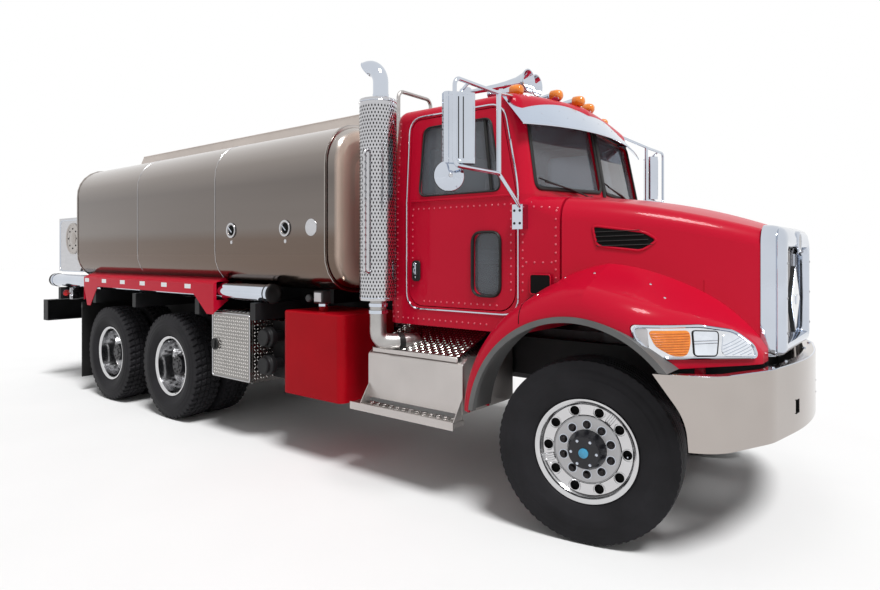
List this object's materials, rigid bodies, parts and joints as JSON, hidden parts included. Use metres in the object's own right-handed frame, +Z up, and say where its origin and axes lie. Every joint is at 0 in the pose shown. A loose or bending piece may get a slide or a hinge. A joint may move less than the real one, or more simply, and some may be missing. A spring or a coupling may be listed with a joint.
{
  "type": "tanker truck",
  "caption": "Conventional-cab tanker truck with twin drive axles, an oval aluminium tank, tilting hood and a rear reel cabinet.",
  "frame": {"origin": "middle of the truck's bounding box, on the ground", "axes": "+X forward, +Y to the truck's left, +Z up"},
  "size_m": [8.68, 3.368, 3.0677],
  "materials": {
    "red_paint": "gloss",
    "red_tank_paint": "gloss",
    "black_paint": "satin",
    "chrome": "polished",
    "polished_aluminium": "polished",
    "brushed_aluminium": "satin",
    "stainless": "polished",
    "cast": "rough",
    "tyre": "matte",
    "rubber": "matte",
    "grey_rubber": "matte",
    "glass": "clear",
    "lamp": "clear",
    "amber": "gloss",
    "seat_fabric": "matte",
    "dash_plastic": "matte"
  },
  "bodies": {
    "truck": {"chassis_frame": "black_paint", "front_axle": "black_paint", "leaf_springs": "black_paint", "drive_axles": "black_paint", "rear_suspension": "black_paint", "engine": "cast", "front_bumper": "chrome", "cab_shell": "red_paint", "cab_glass": "glass", "cab_seats": "seat_fabric", "dashboard": "dash_plastic", "sun_visor": "stainless", "roof_lights": "amber", "air_horns": "chrome", "exhaust_stack": "stainless", "muffler_guard": "stainless", "mirrors": "chrome", "step_box": "brushed_aluminium", "fuel_tank": "polished_aluminium", "side_tank": "red_tank_paint", "toolbox": "brushed_aluminium", "loading_couplings": "black_paint", "tank": "polished_aluminium", "spill_dam": "brushed_aluminium", "tank_ladder": "brushed_aluminium", "rear_fenders": "red_paint", "rear_cabinet": "stainless", "tail_lights": "stainless", "rear_bumper": "black_paint", "mud_flaps": "rubber", "hose_tubes": "brushed_aluminium"},
    "door_right": {"door_right": "red_paint", "door_glass_right": "glass"},
    "door_left": {"door_left": "red_paint", "door_glass_left": "glass"},
    "hood": {"hood": "red_paint", "grille_surround": "chrome", "grille_mesh": "brushed_aluminium", "headlights": "lamp", "fender_flares": "grey_rubber"},
    "knuckle_right": {"knuckle_right": "black_paint"},
    "front_wheel_right": {"front_tyre_right": "tyre", "front_rim_right": "polished_aluminium"},
    "rear_wheels_right": {"rear_tyres_right": "tyre", "rear_rims_right": "polished_aluminium"},
    "mid_wheels_right": {"mid_tyres_right": "tyre", "mid_rims_right": "polished_aluminium"},
    "hose_reel_right": {"hose_reel_right": "stainless"},
    "knuckle_left": {"knuckle_left": "black_paint"},
    "front_wheel_left": {"front_tyre_left": "tyre", "front_rim_left": "polished_aluminium"},
    "rear_wheels_left": {"rear_tyres_left": "tyre", "rear_rims_left": "polished_aluminium"},
    "mid_wheels_left": {"mid_tyres_left": "tyre", "mid_rims_left": "polished_aluminium"},
    "hose_reel_left": {"hose_reel_left": "stainless"},
    "tie_rod": {"tie_rod": "black_paint"},
    "toolbox_door": {"toolbox_door": "brushed_aluminium"},
    "manhole_lid_front": {"manhole_lid_front": "brushed_aluminium"},
    "manhole_lid_rear": {"manhole_lid_rear": "brushed_aluminium"}
  },
  "joints": [
    {"name": "door_right_hinge", "type": "hinge", "parent": "truck", "child": "door_right", "pos_m": [2.826, -0.975, 1.9], "axis": [0, 0, 1], "range_deg": [0, 65]},
    {"name": "door_left_hinge", "type": "hinge", "parent": "truck", "child": "door_left", "pos_m": [2.826, 0.975, 1.9], "axis": [0, 0, -1], "range_deg": [0, 65]},
    {"name": "hood_tilt", "type": "hinge", "parent": "truck", "child": "hood", "pos_m": [4.215, 0, 0.72], "axis": [0, 1, 0], "range_deg": [0, 80]},
    {"name": "steer_right", "type": "hinge", "parent": "truck", "child": "knuckle_right", "pos_m": [3.33, -0.915, 0.527], "axis": [0, 0, 1], "range_deg": [-51, 29]},
    {"name": "steer_left", "type": "hinge", "parent": "truck", "child": "knuckle_left", "pos_m": [3.33, 0.915, 0.527], "axis": [0, 0, 1], "range_deg": [-51, 29]},
    {"name": "tie_rod_pivot", "type": "hinge", "parent": "knuckle_right", "child": "tie_rod", "pos_m": [3.1484, -0.9503, 0.422], "axis": [0, 0, 1], "range_deg": [-29, 51]},
    {"name": "front_wheel_right_spin", "type": "hinge", "parent": "knuckle_right", "child": "front_wheel_right", "pos_m": [3.34622, -0.99844, 0.527], "axis": [-0.1908, 0.9816, 0], "continuous": true},
    {"name": "front_wheel_left_spin", "type": "hinge", "parent": "knuckle_left", "child": "front_wheel_left", "pos_m": [3.31378, 0.99844, 0.527], "axis": [-0.1908, 0.9816, 0], "continuous": true},
    {"name": "rear_wheels_right_spin", "type": "hinge", "parent": "truck", "child": "rear_wheels_right", "pos_m": [-2.4, -1.078, 0.527], "axis": [0, 1, 0], "continuous": true},
    {"name": "rear_wheels_left_spin", "type": "hinge", "parent": "truck", "child": "rear_wheels_left", "pos_m": [-2.4, 1.078, 0.527], "axis": [0, 1, 0], "continuous": true},
    {"name": "mid_wheels_right_spin", "type": "hinge", "parent": "truck", "child": "mid_wheels_right", "pos_m": [-1.08, -1.078, 0.527], "axis": [0, 1, 0], "continuous": true},
    {"name": "mid_wheels_left_spin", "type": "hinge", "parent": "truck", "child": "mid_wheels_left", "pos_m": [-1.08, 1.078, 0.527], "axis": [0, 1, 0], "continuous": true},
    {"name": "toolbox_door_hinge", "type": "hinge", "parent": "truck", "child": "toolbox_door", "pos_m": [0.29, -1.2, 0.83], "axis": [0, 0, 1], "range_deg": [0, 95]},
    {"name": "manhole_lid_rear_hinge", "type": "hinge", "parent": "truck", "child": "manhole_lid_rear", "pos_m": [-1.7, 0.27, 2.8], "axis": [-1, 0, 0], "range_deg": [0, 100]},
    {"name": "manhole_lid_front_hinge", "type": "hinge", "parent": "truck", "child": "manhole_lid_front", "pos_m": [0.54, 0.27, 2.8], "axis": [-1, 0, 0], "range_deg": [0, 100]},
    {"name": "hose_reel_right_spin", "type": "hinge", "parent": "truck", "child": "hose_reel_right", "pos_m": [-3.8, -0.52, 1.745], "axis": [0, 1, 0], "continuous": true},
    {"name": "hose_reel_left_spin", "type": "hinge", "parent": "truck", "child": "hose_reel_left", "pos_m": [-3.8, 0.52, 1.745], "axis": [0, 1, 0], "continuous": true}
  ],
  "couplings": [
    {"joint": "steer_left", "follows": "steer_right", "ratio": 1},
    {"joint": "tie_rod_pivot", "follows": "steer_right", "ratio": -1}
  ]
}
